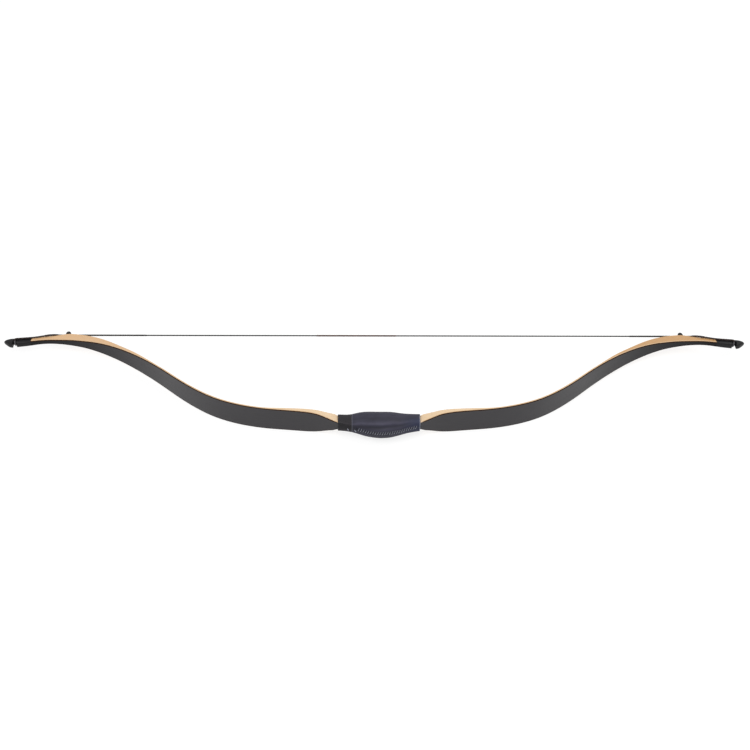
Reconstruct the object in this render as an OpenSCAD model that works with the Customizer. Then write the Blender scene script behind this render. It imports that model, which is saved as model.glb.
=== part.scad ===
// A strung, laminated horsebow lying on its side.
// X runs along the bow towards the lower limb, Y from the back of the bow towards the string,
// and Z across the width of the limbs. The origin is the throat of the grip, on its belly side.
// The lower limb is modelled, and the upper limb is its mirror image.

/* [Bow] */
// Length between the two tips, strung
strung_length = 1180; // [1120:5:1240]
// Length of the stiff handle section, from one fade to the other
handle_length = 370; // [350:5:390]
// Length of each stiff recurved end, from its knee to the tip
siyah_length = 158; // [150:1:172]
// Rise of the limb's back towards the string, from the handle section to the knee
limb_rise = 148; // [138:1:160]
// Rise of the back from the middle of the handle to the limb
handle_rise = 19; // [17:0.5:21]
// Rise of the siyah's back from the knee to its crest
siyah_rise = 16.5; // [12:0.5:20]

/* [Laminations] */
// Thickness of the black fibre back
back_glass_t = 1.2; // [0.8:0.1:1.6]
// Thickness of the wooden core lamination
core_t = 1.4; // [1.2:0.1:2.2]
// Thickness of the clear fibre belly
belly_glass_t = 0.7; // [0.6:0.1:1]
// Depth of the whole stack in the middle of the handle
handle_depth = 20.5; // [18:0.5:23]
// Depth of the siyah at its deepest, under the string bridge
siyah_depth = 15.5; // [14:0.5:18]
// How far the siyah's wedge runs back down the limb from the knee
wedge_lead = 90; // [80:1:100]

/* [Width] */
// Width of the limb at its widest
limb_w = 42.5; // [38:0.5:48]
// Width of the neck of the handle, under the leather
neck_w = 15; // [13:0.5:18]
// Width of the siyah at its narrowest
siyah_w = 8; // [7:0.2:9]
// Width of the nock tip at its notch
tip_w = 10.4; // [9.4:0.2:12]

/* [Tip] */
// Length of the black nock tip
tip_length = 44; // [36:1:50]
// Depth of the siyah where the nock tip joins it
tip_depth = 8.6; // [8:0.1:10]
// Distance from the end of the bow to the seat of the string notch
notch_from_end = 17; // [15:0.2:18]
// Radius of the notch's round seat
notch_r = 1.6; // [1.5:0.1:2]
// Distance from the end of the bow to the middle of the string bridge
bridge_from_end = 100.5; // [94:0.5:108]
// Length of the string bridge along the limb
bridge_length = 9; // [7:0.5:12]
// Height of the string bridge over the belly
bridge_h = 8.6; // [7:0.2:10]

/* [Grip] */
// Distance from the bow's middle to the upper end of the grip
grip_upper = 61; // [56:1:62]
// Distance from the bow's middle to the lower end of the grip
grip_lower = 63; // [60:1:66]
// Length of the arrow-pass band at the grip's upper end
band_length = 21; // [16:1:26]
// Thickness of the leather
leather_t = 1.5; // [1:0.1:2]
// Thickness of the palm swell on the belly side
belly_pad = 2.4; // [1.8:0.2:4]
// Depth of the grip at its fullest
grip_depth = 40.5; // [37:0.5:46]
// Width of the grip at its fullest
grip_w = 34.5; // [32:0.5:40]
// Distance between two crossed stitches of the lacing
stitch_pitch = 4.8; // [4:0.2:6]
// Width across the lacing
lacing_w = 6; // [4:0.5:8]
// Thickness of the lacing thread
thread_d = 1; // [0.8:0.1:1.2]
// How far the lacing lies to the near side of the grip's middle
lacing_aside = 2.5; // [0:0.5:4]

/* [String] */
// Diameter of the bundle of strands
strand_d = 2.2; // [1.6:0.1:2.4]
// Diameter over the servings
serving_d = 2.8; // [2.6:0.1:3]
// Distance from the bow's middle to the nocking point, towards the upper limb
nocking_x = 45; // [30:1:60]
// Length of the centre serving above the nocking point
centre_serving_upper = 51; // [40:1:60]
// Length of the centre serving below the nocking point
centre_serving_lower = 76; // [60:1:90]
// Length of the upper end serving, from the bridge
end_serving_upper = 122; // [80:1:140]
// Length of the lower end serving, from the bridge
end_serving_lower = 82; // [70:1:140]
// Height of the string's middle over the belly at the bridge
string_lift = 2.1; // [2.2:0.1:3]
// Clearance between the string and what it lies in, and at each limb's seat
clearance = 0.3; // [0.2:0.05:0.4]

/* [Hidden] */

maple = [0.86, 0.70, 0.50];
dark_maple = [0.80, 0.62, 0.42];
black_glass = [0.27, 0.26, 0.28];
clear_glass = [0.84, 0.68, 0.46];
horn = [0.11, 0.11, 0.12];
navy_leather = [0.24, 0.25, 0.32];
black_leather = [0.17, 0.17, 0.19];
navy_thread = [0.20, 0.22, 0.30];
swell_cork = [0.62, 0.47, 0.32];
string_black = [0.10, 0.10, 0.11];
string_grey = [0.30, 0.30, 0.31];
serving_red = [0.36, 0.24, 0.20];

// Places along the lower limb
bow_end = strung_length / 2;
root_x = handle_length / 2;
knee_x = bow_end - siyah_length;
crest_x = knee_x + 0.525 * siyah_length;
tip_x = bow_end - tip_length;
bridge_x = bow_end - bridge_from_end;
notch_x = bow_end - notch_from_end;
flex_length = knee_x - root_x;

// A smooth curve through stations [x, y, slope]
function station(st, x, i = 0) = i < len(st) - 2 && x > st[i + 1][0] ? station(st, x, i + 1) : i;
function curve(st, x) =
    let (i = station(st, x), a = st[i], b = st[i + 1], h = b[0] - a[0], s = (x - a[0]) / h)
    a[1] * (1 + 2 * s) * pow(1 - s, 2) + b[1] * s * s * (3 - 2 * s)
    + h * s * (1 - s) * (a[2] * (1 - s) - b[2] * s);
function slope(st, x) =
    let (i = station(st, x), a = st[i], b = st[i + 1], h = b[0] - a[0], s = (x - a[0]) / h)
    6 * s * (1 - s) * (b[1] - a[1]) / h + a[2] * (1 - s) * (1 - 3 * s) + b[2] * s * (3 * s - 2);
function steps(from, to, count) = [for (i = [0:count]) from + (to - from) * i / count];
function reversed(list) = [for (i = [len(list) - 1:-1:0]) list[i]];

// The back of the bow. Its slopes in the flexing limb follow from the rise
limb_t = back_glass_t + core_t + belly_glass_t;
belly_y = -(leather_t + belly_pad);
middle_back_y = belly_y - handle_depth;
root_back_y = middle_back_y + handle_rise;
root_slope = 0.185;
rise_ratio = limb_rise / flex_length;
tip_drop = 13;
back = [
    [0, middle_back_y, 0],
    [0.3 * root_x, middle_back_y + 0.005 * handle_rise, 0.06],
    [0.41 * root_x, middle_back_y + 0.215 * handle_rise, 0.245],
    [0.54 * root_x, middle_back_y + 0.463 * handle_rise, 0.135],
    [0.81 * root_x, middle_back_y + 0.758 * handle_rise, 0.094],
    [root_x, root_back_y, root_slope],
    [root_x + 0.224 * flex_length, root_back_y + 0.111 * limb_rise, 0.724 * rise_ratio],
    [root_x + 0.555 * flex_length, root_back_y + 0.497 * limb_rise, 1.49 * rise_ratio],
    [knee_x, root_back_y + limb_rise, 0.703 * rise_ratio],
    [crest_x, root_back_y + limb_rise + siyah_rise, 0.018],
    [bow_end, root_back_y + limb_rise + siyah_rise - tip_drop, -0.17]
];

// Depth of the stack, square to the back: full in the handle, thin in the limb, and swelling
// again with the siyah's wedge
swelling = siyah_depth - limb_t;
depths = [
    [0, handle_depth, 0],
    [0.24 * root_x, 0.87 * handle_depth, -0.05],
    [0.34 * root_x, 0.81 * handle_depth, -0.2],
    [0.44 * root_x, 0.57 * handle_depth, -0.24],
    [0.52 * root_x, 0.45 * handle_depth, -0.11],
    [0.78 * root_x, limb_t + 0.112 * handle_depth, -0.065],
    [root_x, limb_t, 0],
    [knee_x - wedge_lead, limb_t, 0],
    [knee_x - 0.66 * wedge_lead, limb_t + 0.14 * swelling, 0.09],
    [knee_x - 0.3 * wedge_lead, limb_t + 0.31 * swelling, 0.1],
    [knee_x + 0.15 * siyah_length, limb_t + 0.866 * swelling, 0.11],
    [bridge_x, siyah_depth, 0],
    [bridge_x + 0.13 * siyah_length, tip_depth + 2.2, -0.2],
    [tip_x, tip_depth, -0.03],
    [bow_end, tip_depth, 0]
];

// Half widths of the limb, seen from the back
flare = (limb_w - neck_w) / 2;
half_width = [
    [0, neck_w / 2, 0],
    [0.3 * root_x, neck_w / 2, 0.03],
    [0.39 * root_x, neck_w / 2 + 0.255 * flare, 0.32],
    [0.52 * root_x, neck_w / 2 + 0.845 * flare, 0.19],
    [0.65 * root_x, 0.4965 * limb_w, 0.012],
    [0.9 * root_x, limb_w / 2, 0],
    [root_x + 0.51 * flex_length, 0.4625 * limb_w, -0.03],
    [root_x + 0.795 * flex_length, 0.37 * limb_w, -0.085],
    [knee_x + 0.14 * siyah_length, 0.192 * limb_w, -0.13],
    [bridge_x, siyah_w / 2 + 1.2, -0.08],
    [crest_x + 8, siyah_w / 2, 0],
    [tip_x, 0.43 * tip_w, 0.06],
    [notch_x, tip_w / 2, 0]
];

function stack_depth(x) = curve(depths, abs(x));
// A point at a depth under the back of the bow
function in_stack(x, depth) =
    let (a = abs(x), tilt = atan(slope(back, a)), out = a - depth * sin(tilt))
    [x < 0 ? -out : out, curve(back, a) + depth * cos(tilt)];
function belly_at(x) = in_stack(x, stack_depth(x));

// The limb ends at the tip in a joint that slants in under the back
joint_slant = 3;
function joint_at(depth) =
    let (
        start = in_stack(tip_x - joint_slant / 2, 0),
        end = in_stack(tip_x + joint_slant / 2, tip_depth)
    )
    start + depth / tip_depth * (end - start);
module before_joint() {
    low = joint_at(-tip_depth);
    high = joint_at(2 * tip_depth);
    polygon([
        low, high,
        [high[0], 2 * strung_length], [0, 2 * strung_length],
        [0, -2 * strung_length], [low[0], -2 * strung_length]
    ]);
}

limb_steps = 32;
handle_steps = 44;
limb_xs = steps(root_x - limb_t, tip_x + joint_slant, limb_steps);
handle_xs = steps(-root_x, root_x, handle_steps);

// Seat of the limb's root: a round about the line where the limb bends
seat = in_stack(root_x, limb_t / 2);
seat_r = limb_t / 2;

string_y = belly_at(bridge_x)[1] + string_lift;
loop_r = serving_d / 2 - 0.1;

module in_width(xs) {
    rotate([90, 0, 0])
        linear_extrude(height = 2 * strung_length, center = true)
            polygon(concat(
                [for (x = xs) [x, curve(half_width, abs(x))]],
                [for (x = reversed(xs)) [x, -curve(half_width, abs(x))]]));
}

// An outline seen along a diagonal of the section, which takes off two opposite corners.
// Each of its points is a place on the back or on the belly, with the half width left there
module along_diagonal(turn, back_line, belly_line) {
    rotate([turn, 0, 0])
        linear_extrude(height = 2 * strung_length, center = true)
            polygon(concat(
                [for (p = back_line) [p[0], (p[1] - p[2]) / sqrt(2)]],
                [for (p = reversed(belly_line)) [p[0], (p[1] + p[2]) / sqrt(2)]]));
}

// One lamination of the limb, with its rounded root
module limb_band(xs, from_depth, to_depth) {
    intersection() {
        linear_extrude(height = 2 * limb_w, center = true)
            intersection() {
                polygon(concat(
                    [for (i = [0:len(xs) - 1]) in_stack(xs[i], from_depth[i])],
                    [for (i = [len(xs) - 1:-1:0]) in_stack(xs[i], to_depth[i])]));
                before_joint();
                union() {
                    translate(seat) circle(r = seat_r, $fn = 48);
                    translate(seat) rotate(atan(root_slope))
                        translate([0, -2 * strung_length])
                            square([2 * strung_length, 4 * strung_length]);
                }
            }
        in_width(limb_xs);
    }
}

function limb_total(x) = x < root_x ? limb_t : stack_depth(x);
function all_at(xs, depth) = [for (x = xs) depth];

module limb_core() {
    color(maple)
        limb_band(limb_xs, all_at(limb_xs, back_glass_t), all_at(limb_xs, back_glass_t + core_t));
}

module back_glass() {
    color(black_glass) limb_band(limb_xs, all_at(limb_xs, 0), all_at(limb_xs, back_glass_t));
}

module belly_glass() {
    color(clear_glass)
        limb_band(limb_xs,
            [for (x = limb_xs) limb_total(x) - belly_glass_t],
            [for (x = limb_xs) limb_total(x)]);
}

// The wedge starts in a point between core and belly, so its first station is the last thin one
module siyah_wedge() {
    under = back_glass_t + core_t;
    thin = [for (x = limb_xs) if (limb_total(x) - limb_t < 0.001) x];
    thick = [for (x = limb_xs) if (limb_total(x) - limb_t >= 0.001) x];
    xs = concat([thin[len(thin) - 1]], thick);
    color(dark_maple)
        intersection() {
            linear_extrude(height = 2 * limb_w, center = true)
                intersection() {
                    polygon(concat(
                        [for (x = xs) in_stack(x, under)],
                        [for (x = reversed(thick)) in_stack(x, limb_total(x) - belly_glass_t)]));
                    before_joint();
                }
            in_width(limb_xs);
        }
}

// The black tip: its back and its belly are written from the joint to the nose, each place
// with its height over the back of the joint
tip_y = curve(back, tip_x);
shoulder = [notch_x - 3, -4.4];
lip = [notch_x + 3.4, -5.1];
tip_back = [
    [tip_x + 0.29 * tip_length, -2.7],
    shoulder,
    lip,
    [bow_end - 9, -4.7],
    [bow_end - 6.5, -3.2],
    [bow_end - 4, -1.6],
    [bow_end - 1.7, 0],
    [bow_end, 2.1]
];
tip_belly = [
    [tip_x + 0.29 * tip_length, 8.4],
    [notch_x - 1, 7.2],
    [bow_end - 8, 6.1],
    [bow_end - 3.5, 5.1],
    [bow_end - 0.8, 3.8],
    [bow_end, 2.1]
];
module nock_tip() {
    joint = [joint_at(0), joint_at(tip_depth)];
    back_line = [for (p = tip_back) [p[0], tip_y + p[1]]];
    belly_line = [for (p = tip_belly) [p[0], tip_y + p[1]]];
    square_half = curve(half_width, tip_x) + 1;
    back_rim = concat([concat(joint[0], square_half)],
        [for (p = back_line) concat(p, kept_half(p[0]))]);
    belly_rim = concat([concat(joint[1], square_half)],
        [for (p = belly_line) concat(p, kept_half(p[0]))]);
    color(horn)
        difference() {
            intersection() {
                linear_extrude(height = 2 * tip_w, center = true)
                    polygon(concat([joint[0]], back_line, reversed(belly_line), [joint[1]]));
                tip_plan();
                along_diagonal(45, back_rim, belly_rim);
                along_diagonal(-45, back_rim, belly_rim);
            }
            notch();
        }
}

// Seen from the back, the tip ends in a half ellipse
function tip_half(x) =
    x < notch_x ? curve(half_width, x)
    : tip_w / 2 * sqrt(max(0, 1 - pow((x - notch_x) / notch_from_end, 2)));
// The half width that a corner's cut leaves in the flat of the back and of the belly
function kept_half(x) = 0.73 * tip_half(x);

module tip_plan() {
    xs = concat(steps(tip_x - limb_t, notch_x, 4),
        [for (a = [15:15:75]) notch_x + notch_from_end * sin(a)]);
    rotate([90, 0, 0])
        linear_extrude(height = 2 * strung_length, center = true)
            polygon(concat(
                [for (x = xs) [x, tip_half(max(x, tip_x))]],
                [[bow_end, 0]],
                [for (x = reversed(xs)) [x, -tip_half(max(x, tip_x))]]));
}

function notch_seat() = [notch_x, tip_y + 0.4];

// The string notch: a round seat with a mouth that opens on the back. Towards both sides it
// widens like a countersink
notch_flare = 1.8;
notch_core = 2;
module notch() {
    s = notch_seat();
    outside = tip_y - 2 * tip_depth;
    translate([s[0], s[1], 0]) cylinder(r = notch_r, h = 2 * tip_w, center = true, $fn = 32);
    linear_extrude(height = 2 * tip_w, center = true)
        polygon([
            [s[0] - notch_r, s[1]],
            [shoulder[0], tip_y + shoulder[1]],
            [shoulder[0], outside],
            [lip[0], outside],
            [lip[0], tip_y + lip[1]],
            [s[0] + notch_r, s[1]]
        ]);
    for (side = [-1, 1])
        hull()
            for (down = [0, 2 * tip_depth])
                translate([s[0], s[1] - down, side * notch_core])
                    rotate([90 - 90 * side, 0, 0])
                        cylinder(r1 = notch_r, r2 = notch_r + notch_flare,
                            h = tip_w / 2 - notch_core + 1, $fn = 32);
}

// The bridge keeps the string off the knee in a groove between two ears
module string_bridge() {
    half = curve(half_width, bridge_x) - 0.2;
    foot = belly_at(bridge_x)[1];
    color(horn)
        difference() {
            translate([bridge_x, foot, 0])
                intersection() {
                    linear_extrude(height = 2 * half, center = true)
                        polygon(concat(
                            [[bridge_length / 2, -3]],
                            [for (a = [0:15:180])
                                [bridge_length / 2 * cos(a), bridge_h * pow(sin(a), 0.8)]],
                            [[-bridge_length / 2, -3]]));
                    rotate([0, 90, 0])
                        linear_extrude(height = 2 * bridge_length, center = true)
                            polygon(concat(
                                [[half, -3]],
                                [for (a = [0:15:180]) [half * cos(a), bridge_h * pow(sin(a), 0.4)]],
                                [[-half, -3]]));
                }
            translate([bridge_x, string_y, 0]) rotate([0, 90, 0])
                cylinder(d = serving_d + 2 * clearance, h = 3 * bridge_length, center = true, $fn = 32);
            translate([bridge_x, string_y + bridge_h, 0])
                cube([3 * bridge_length, 2 * bridge_h, serving_d + 2 * clearance], center = true);
            linear_extrude(height = 2 * limb_w, center = true)
                polygon(concat(
                    [for (x = limb_xs) in_stack(x, 0)],
                    [for (x = reversed(limb_xs)) in_stack(x, limb_total(x))]));
        }
}

// A side outline of the handle, given its width. Its corners are taken off under the leather
corner_cut = 3;
function handle_half(x) =
    curve(half_width, abs(x))
    - max(-corner_cut, corner_cut - 0.35 * max(0, abs(x) - grip_lower + 1));
module handle_solid() {
    xs = steps(-root_x - limb_t, root_x + limb_t, 2 * handle_steps);
    back_rim = [for (x = xs) concat(in_stack(x, 0), handle_half(x))];
    belly_rim = [for (x = xs) concat(belly_at(x), handle_half(x))];
    intersection() {
        linear_extrude(height = 2 * limb_w, center = true) children();
        in_width(xs);
        along_diagonal(45, back_rim, belly_rim);
        along_diagonal(-45, back_rim, belly_rim);
    }
}

// The same, hollowed at both ends for the limbs' roots
module handle_piece(outline) {
    handle_solid()
        difference() {
            polygon(outline);
            for (side = [-1, 1])
                translate([side * seat[0], seat[1]]) circle(r = seat_r + clearance, $fn = 48);
        }
}

module handle_band(from_depth, to_depth) {
    handle_piece(concat(
        [for (i = [0:handle_steps]) in_stack(handle_xs[i], from_depth[i])],
        [for (i = [handle_steps:-1:0]) in_stack(handle_xs[i], to_depth[i])]));
}

module handle_back_glass() {
    color(black_glass) handle_band(all_at(handle_xs, 0), all_at(handle_xs, back_glass_t));
}

module handle_core() {
    color(maple)
        handle_band(all_at(handle_xs, back_glass_t), all_at(handle_xs, back_glass_t + core_t));
}

module handle_belly_glass() {
    color(clear_glass)
        handle_band([for (x = handle_xs) stack_depth(x) - belly_glass_t],
            [for (x = handle_xs) stack_depth(x)]);
}

module riser_wedge() {
    inner = [for (i = [1:handle_steps - 1]) handle_xs[i]];
    color(dark_maple)
        handle_piece(concat(
            [for (x = handle_xs) in_stack(x, back_glass_t + core_t)],
            [for (x = reversed(inner)) in_stack(x, stack_depth(x) - belly_glass_t)]));
}

// The grip: its belly line, back line, half width and squareness at places along it.
// At both ends the leather lies tight on the stack
function grip_end(x, slack) = [
    belly_at(x)[1] + leather_t + slack,
    curve(back, x) - leather_t - slack,
    curve(half_width, x) + leather_t + slack
];
upper_end = grip_end(grip_upper, 0.5);
lower_end = grip_end(grip_lower, 1.1);
fullest_x = 3;
grip_top = [
    [-grip_upper, upper_end[0], 0.04],
    [-0.74 * grip_upper, -0.1 * grip_depth, 0.13],
    [-0.49 * grip_upper, -0.02 * grip_depth, 0.15],
    [-0.2 * grip_upper, 0, 0],
    [0.24 * grip_lower, 0, 0],
    [0.48 * grip_lower, -0.02 * grip_depth, -0.13],
    [0.71 * grip_lower, -0.072 * grip_depth, -0.12],
    [grip_lower, lower_end[0], -0.03]
];
grip_bottom = [
    [-grip_upper, upper_end[1], -0.1],
    [-0.74 * grip_upper, -0.706 * grip_depth, -0.26],
    [-0.49 * grip_upper, -0.817 * grip_depth, -0.31],
    [-0.25 * grip_upper, -0.928 * grip_depth, -0.23],
    [fullest_x, -grip_depth, 0],
    [0.48 * grip_lower, -0.9 * grip_depth, 0.29],
    [0.71 * grip_lower, -0.768 * grip_depth, 0.33],
    [grip_lower, lower_end[1], 0.18]
];
grip_half = [
    [-grip_upper, upper_end[2], -0.03],
    [-0.74 * grip_upper, 0.281 * grip_w, 0.05],
    [-0.49 * grip_upper, 0.374 * grip_w, 0.3],
    [-0.25 * grip_upper, 0.47 * grip_w, 0.13],
    [fullest_x, grip_w / 2, 0],
    [0.24 * grip_lower, 0.484 * grip_w, -0.13],
    [0.48 * grip_lower, 0.377 * grip_w, -0.22],
    [0.71 * grip_lower, 0.326 * grip_w, -0.04],
    [grip_lower, lower_end[2], 0]
];
squareness = [
    [-grip_upper, 4, 0],
    [-0.49 * grip_upper, 3, -0.03],
    [fullest_x, 2.4, 0],
    [0.48 * grip_lower, 2.7, 0.02],
    [grip_lower, 4, 0.03]
];
section_points = 32;
band_x = -grip_upper + band_length;

function signed_pow(v, e) = sign(v) * pow(abs(v), e);
function grip_section(x, inset) =
    let (
        top = curve(grip_top, x) - inset,
        bottom = curve(grip_bottom, x) + inset,
        half = curve(grip_half, x) - inset,
        e = 2 / curve(squareness, x)
    )
    [for (i = [0:section_points - 1])
        let (a = 360 * i / section_points)
        [x, (top + bottom) / 2 + (top - bottom) / 2 * signed_pow(cos(a), e),
            half * signed_pow(sin(a), e)]];

// A solid through rings of equal length, closed at both ends
module skin_over(rings) {
    n = len(rings[0]);
    last = (len(rings) - 1) * n;
    points = [for (ring = rings) each ring];
    faces = concat(
        [[for (j = [0:n - 1]) j]],
        [for (i = [0:len(rings) - 2], j = [0:n - 1])
            let (k = (j + 1) % n)
            each [[i * n + j, (i + 1) * n + j, (i + 1) * n + k],
                  [i * n + j, (i + 1) * n + k, i * n + k]]],
        [[for (j = [n - 1:-1:0]) last + j]]);
    polyhedron(points = points, faces = faces);
}

grip_xs = steps(-grip_upper, grip_lower, 26);
// Grip stations between two places, with both places themselves
function grip_span(from, to) =
    concat([from], [for (x = grip_xs) if (x > from + 1 && x < to - 1) x], [to]);

module leather_shell(from, to) {
    difference() {
        skin_over([for (x = grip_span(from, to)) grip_section(x, 0)]);
        skin_over(concat(
            [shifted(grip_section(from, leather_t), -1)],
            [for (x = grip_span(from, to)) grip_section(x, leather_t)],
            [shifted(grip_section(to, leather_t), 1)]));
    }
}
function shifted(ring, dx) = [for (p = ring) [p[0] + dx, p[1], p[2]]];

module grip_leather() {
    color(navy_leather) leather_shell(band_x, grip_lower);
}

module arrow_pass_band() {
    color(black_leather) leather_shell(-grip_upper, band_x);
}

// The swell fills the leather out between the two tight ends
module palm_swell() {
    from = -0.8 * grip_upper;
    to = 0.8 * grip_lower;
    color(swell_cork)
        difference() {
            skin_over([for (x = concat(grip_span(from, band_x),
                [for (x = grip_span(band_x, to)) if (x > band_x) x]))
                grip_section(x, leather_t)]);
            handle_solid()
                polygon(concat(
                    [for (x = handle_xs) in_stack(x, 0)],
                    [for (x = reversed(handle_xs)) in_stack(x, stack_depth(x))]));
        }
}

// Crossed stitches along the grip's back, from the band to the lower end.
// Neighbours share their holes, so it is one thread
lacing_gap = 0.12;
module grip_lacing() {
    count = floor((grip_lower - band_x - lacing_w) / stitch_pitch);
    start = (band_x + grip_lower - (count - 1) * stitch_pitch) / 2;
    color(navy_thread)
        for (i = [0:count - 1]) {
            x = start + i * stitch_pitch;
            tilt = slope(grip_bottom, x);
            run = stitch_pitch * sqrt(1 + tilt * tilt);
            translate([x, curve(grip_bottom, x) - thread_d / 2 - lacing_gap, lacing_aside])
                rotate([0, 0, atan(tilt)])
                    for (side = [-1, 1])
                        rotate([0, side * atan(run / lacing_w), 0])
                            cylinder(d = thread_d, h = norm([run, lacing_w]) + 0.4,
                                center = true, $fn = 8);
        }
}

// A round cord through points that lie in one plane with the given normal
module cord(points, radius, normal, sides = 8) {
    last = len(points) - 1;
    skin_over([for (i = [0:last])
        let (
            along = points[min(i + 1, last)] - points[max(i - 1, 0)],
            t = along / norm(along),
            side = cross(normal, t)
        )
        [for (j = [0:sides - 1])
            let (a = 360 * (j + 0.5) / sides)
            points[i] + radius * (cos(a) * side + sin(a) * normal) / cos(180 / sides)]]);
}

// The end loop: two legs from the notch, round the tip, to a stem that lies in the bridge
loop_stem = 7;
pivot_gap = 0.1;
module end_loop() {
    color(string_black)
        union() {
            loop_leg(1);
            loop_leg(-1);
            translate([bridge_x, string_y, 0])
                difference() {
                    rotate([0, 90, 0]) cylinder(d = serving_d, h = loop_stem, $fn = 24);
                    cylinder(r = serving_d / 2 + pivot_gap, h = 2 * serving_d, center = true,
                        $fn = 48);
                }
        }
}

// One leg, from the middle of the notch. Its places are written along the loop's own plane
module loop_leg(side) {
    seat_point = notch_seat();
    run = [bridge_x + loop_stem - 1, string_y] - seat_point;
    reach = norm(run);
    along = [run[0], run[1], 0] / reach;
    normal = [-along[1], along[0], 0];
    beside = tip_w / 2 + loop_r + clearance;
    bend = 1.8;
    legs = [
        [bend, beside, 0],
        [0.34 * reach, beside - 0.7, -0.03],
        [0.66 * reach, siyah_w / 2 + loop_r + clearance, -0.03],
        [0.75 * reach, siyah_w / 2 + 1.05, -0.16],
        [reach, 0.6, -0.03]
    ];
    route = concat(
        [[0, 0]],
        [for (a = [90:-30:30]) [bend - bend * sin(a), beside - bend + bend * cos(a)]],
        [for (u = steps(bend, reach, 16)) [u, curve(legs, u)]]);
    cord([for (p = route)
        [seat_point[0], seat_point[1], 0] + p[0] * along + [0, 0, side * p[1]]], loop_r, normal);
}

// A round rod, or a wound tube over it, along the string from its pivot at a bridge.
// Its end is rounded about the pivot, where the string bends when it is drawn
module string_half(from, to, outer, inner = 0) {
    intersection() {
        translate([from, string_y, 0]) rotate([0, 90, 0])
            difference() {
                translate([0, 0, -serving_d]) cylinder(d = outer, h = to - from + serving_d, $fn = 24);
                if (inner > 0)
                    translate([0, 0, -2 * serving_d])
                        cylinder(d = inner, h = to - from + 3 * serving_d, $fn = 24);
            }
        translate([from, string_y, 0])
            linear_extrude(height = 2 * serving_d, center = true)
                union() {
                    circle(d = serving_d, $fn = 48);
                    translate([0, -serving_d]) square([to - from, 2 * serving_d]);
                }
    }
}

// The same without a pivot, between two places
module on_string(from, to) {
    translate([from, string_y, 0]) rotate([0, 90, 0])
        difference() {
            cylinder(d = serving_d, h = to - from, $fn = 24);
            translate([0, 0, -1]) cylinder(d = strand_d, h = to - from + 2, $fn = 24);
        }
}

module upper() { mirror([1, 0, 0]) children(); }

riser_wedge();
handle_core();
handle_back_glass();
handle_belly_glass();
palm_swell();
grip_leather();
arrow_pass_band();
grip_lacing();
upper() limb_core();  // upper_limb_core
upper() back_glass();  // upper_back_glass
upper() belly_glass();  // upper_belly_glass
upper() siyah_wedge();  // upper_siyah_wedge
upper() nock_tip();  // upper_nock_tip
upper() string_bridge();  // upper_string_bridge
limb_core();  // lower_limb_core
back_glass();  // lower_back_glass
belly_glass();  // lower_belly_glass
siyah_wedge();  // lower_siyah_wedge
nock_tip();  // lower_nock_tip
string_bridge();  // lower_string_bridge
upper() end_loop();  // upper_end_loop
end_loop();  // lower_end_loop
color(string_grey) string_half(-bridge_x, -nocking_x, strand_d);  // upper_strands
color(string_black)  // upper_end_serving
        string_half(-bridge_x, -bridge_x + end_serving_upper, serving_d, strand_d);
color(serving_red) on_string(-nocking_x - centre_serving_upper, -nocking_x);  // upper_centre_serving
color(string_grey) upper() string_half(-bridge_x, nocking_x, strand_d);  // lower_strands
color(string_black)  // lower_end_serving
        upper() string_half(-bridge_x, -bridge_x + end_serving_lower, serving_d, strand_d);
color(serving_red) on_string(-nocking_x, -nocking_x + centre_serving_lower);  // lower_centre_serving
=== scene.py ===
import math

import bmesh
import bpy
from mathutils import Matrix, Vector


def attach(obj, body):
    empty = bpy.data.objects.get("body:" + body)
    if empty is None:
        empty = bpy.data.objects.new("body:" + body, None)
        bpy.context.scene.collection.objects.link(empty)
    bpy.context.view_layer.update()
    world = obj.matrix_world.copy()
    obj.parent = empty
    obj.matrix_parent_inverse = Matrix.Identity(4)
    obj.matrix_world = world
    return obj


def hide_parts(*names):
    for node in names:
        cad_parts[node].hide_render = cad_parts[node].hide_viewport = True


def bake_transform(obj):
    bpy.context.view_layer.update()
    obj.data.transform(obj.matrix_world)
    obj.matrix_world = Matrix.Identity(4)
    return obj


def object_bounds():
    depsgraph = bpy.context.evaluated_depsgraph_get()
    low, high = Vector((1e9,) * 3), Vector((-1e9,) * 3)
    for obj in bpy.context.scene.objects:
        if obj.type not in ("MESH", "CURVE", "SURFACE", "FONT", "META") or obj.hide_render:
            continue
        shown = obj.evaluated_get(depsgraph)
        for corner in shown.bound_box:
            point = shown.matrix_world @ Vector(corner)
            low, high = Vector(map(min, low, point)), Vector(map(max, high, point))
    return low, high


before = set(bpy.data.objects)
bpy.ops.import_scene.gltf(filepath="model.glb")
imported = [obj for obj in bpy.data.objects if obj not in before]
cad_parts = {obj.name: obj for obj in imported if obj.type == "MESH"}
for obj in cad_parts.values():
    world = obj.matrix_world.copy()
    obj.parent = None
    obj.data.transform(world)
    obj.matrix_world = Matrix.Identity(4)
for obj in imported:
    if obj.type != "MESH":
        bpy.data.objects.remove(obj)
cad_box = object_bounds()
bpy.ops.object.select_all(action="DESELECT")

# A strung horsebow, lying on its side as in the photograph. X runs along the bow towards the
# lower limb, Y from its back towards the string and Z across its width. Curves and sizes are
# written in millimetres, and MM turns them into Blender's metres.
MM = 0.001

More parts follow.
